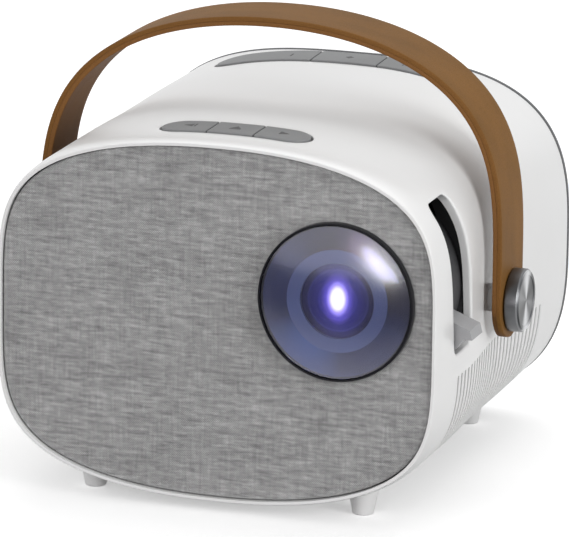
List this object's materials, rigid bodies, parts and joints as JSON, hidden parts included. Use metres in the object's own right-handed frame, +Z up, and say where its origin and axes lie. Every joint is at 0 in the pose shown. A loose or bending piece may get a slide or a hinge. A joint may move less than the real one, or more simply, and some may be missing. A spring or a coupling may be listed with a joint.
{
  "type": "mini projector",
  "caption": "Rounded white mini projector with a flat grey fabric front, an off-centre glass lens, a slotted focus lever, push keys on top and a tan strap handle on thumb screws",
  "frame": {"origin": "centre of the bounding box on the table, under the feet", "axes": "the fabric front and lens face -Y, the ports +Y, the focus slot and lens are towards +X, +Z is up"},
  "size_m": [0.1402, 0.13, 0.1254],
  "materials": {
    "shell_white": "satin white moulding",
    "cloth_grey": "mottled grey linen weave",
    "seam_grey": "satin grey edge band",
    "black_plastic": "satin black moulding",
    "key_grey": "satin mid grey",
    "lens_glass": "clear with a blue and violet coating",
    "bare_metal": "turned and brushed",
    "mirror_cup": "polished inside",
    "bush_brass": "turned",
    "board_green": "solder mask",
    "led_yellow": "phosphor",
    "cone_black": "matt",
    "strap_tan": "smooth tan, satin",
    "strap_brown": "dark brown lining"
  },
  "bodies": {
    "housing": {"main_shell": "shell_white", "front_baffle": "black_plastic", "front_fabric": "cloth_grey", "rear_trim": "seam_grey", "rear_cover": "shell_white", "tripod_bush": "bush_brass", "foot_front_left": "shell_white", "foot_front_right": "shell_white", "foot_rear_left": "shell_white", "foot_rear_right": "shell_white", "cover_screw_1": "bare_metal", "cover_screw_2": "bare_metal", "cover_screw_3": "bare_metal", "cover_screw_4": "bare_metal", "lens_rim": "black_plastic", "front_glass": "lens_glass", "pupil_glass": "lens_glass", "lens_holder": "black_plastic", "optics_tray": "black_plastic", "optics_lid": "black_plastic", "fresnel_front": "lens_glass", "lcd_panel": "lens_glass", "fresnel_rear": "lens_glass", "heat_glass": "lens_glass", "reflector_cup": "mirror_cup", "led_board": "board_green", "led_chip": "led_yellow", "heat_sink": "bare_metal", "fan_frame": "black_plastic", "condenser_lens": "lens_glass", "speaker_frame": "bare_metal", "speaker_cone": "cone_black", "main_board": "board_green", "hdmi_socket": "bare_metal", "usb_socket": "bare_metal", "audio_socket": "black_plastic", "power_socket": "black_plastic", "remote_eye": "black_plastic", "front_key_board": "board_green", "rear_key_board": "board_green", "pivot_screw_right": "bare_metal", "pivot_screw_left": "bare_metal", "pivot_bush_right": "shell_white", "pivot_bush_left": "shell_white"},
    "handle": {"strap_outer": "strap_tan", "strap_inner": "strap_brown"},
    "focus": {"focus_ring": "black_plastic", "focus_lever": "key_grey"},
    "barrel": {"lens_barrel": "black_plastic", "barrel_front_lens": "lens_glass", "barrel_rear_lens": "lens_glass", "follower_pin": "bare_metal"},
    "fan": {"fan_rotor": "black_plastic"},
    "front_key_left_body": {"front_key_left": "key_grey"},
    "front_key_middle_body": {"front_key_middle": "key_grey"},
    "front_key_right_body": {"front_key_right": "key_grey"},
    "rear_key_left_body": {"rear_key_left": "key_grey"},
    "rear_key_middle_body": {"rear_key_middle": "key_grey"},
    "rear_key_right_body": {"rear_key_right": "key_grey"}
  },
  "joints": [
    {"name": "handle_swing", "type": "hinge", "parent": "housing", "child": "handle", "pos_m": [0, -0.0071, 0.0515], "axis": [1, 0, 0], "range_deg": [-36, 27]},
    {"name": "focus_turn", "type": "hinge", "parent": "housing", "child": "focus", "pos_m": [0.0339, 0, 0.061], "axis": [0, -1, 0], "range_deg": [-1, 53]},
    {"name": "focus_slide", "type": "slide", "parent": "housing", "child": "barrel", "axis": [0, 1, 0], "range_m": [-0.0001, 0.00291]},
    {"name": "fan_spin", "type": "hinge", "parent": "housing", "child": "fan", "pos_m": [0.0339, 0, 0.061], "axis": [0, 1, 0], "continuous": true},
    {"name": "front_key_left_press", "type": "slide", "parent": "housing", "child": "front_key_left_body", "axis": [0, 0, -1], "range_m": [0, 0.0004], "stiffness_N_per_m": 1000, "springref_m": -0.0005},
    {"name": "front_key_middle_press", "type": "slide", "parent": "housing", "child": "front_key_middle_body", "axis": [0, 0, -1], "range_m": [0, 0.0004], "stiffness_N_per_m": 1000, "springref_m": -0.0005},
    {"name": "front_key_right_press", "type": "slide", "parent": "housing", "child": "front_key_right_body", "axis": [0, 0, -1], "range_m": [0, 0.0004], "stiffness_N_per_m": 1000, "springref_m": -0.0005},
    {"name": "rear_key_left_press", "type": "slide", "parent": "housing", "child": "rear_key_left_body", "axis": [0, 0, -1], "range_m": [0, 0.0004], "stiffness_N_per_m": 1000, "springref_m": -0.0005},
    {"name": "rear_key_middle_press", "type": "slide", "parent": "housing", "child": "rear_key_middle_body", "axis": [0, 0, -1], "range_m": [0, 0.0004], "stiffness_N_per_m": 1000, "springref_m": -0.0005},
    {"name": "rear_key_right_press", "type": "slide", "parent": "housing", "child": "rear_key_right_body", "axis": [0, 0, -1], "range_m": [0, 0.0004], "stiffness_N_per_m": 1000, "springref_m": -0.0005}
  ],
  "couplings": [
    {"joint": "focus_slide", "follows": "focus_turn", "m_per_rad": 0.0031351}
  ]
}
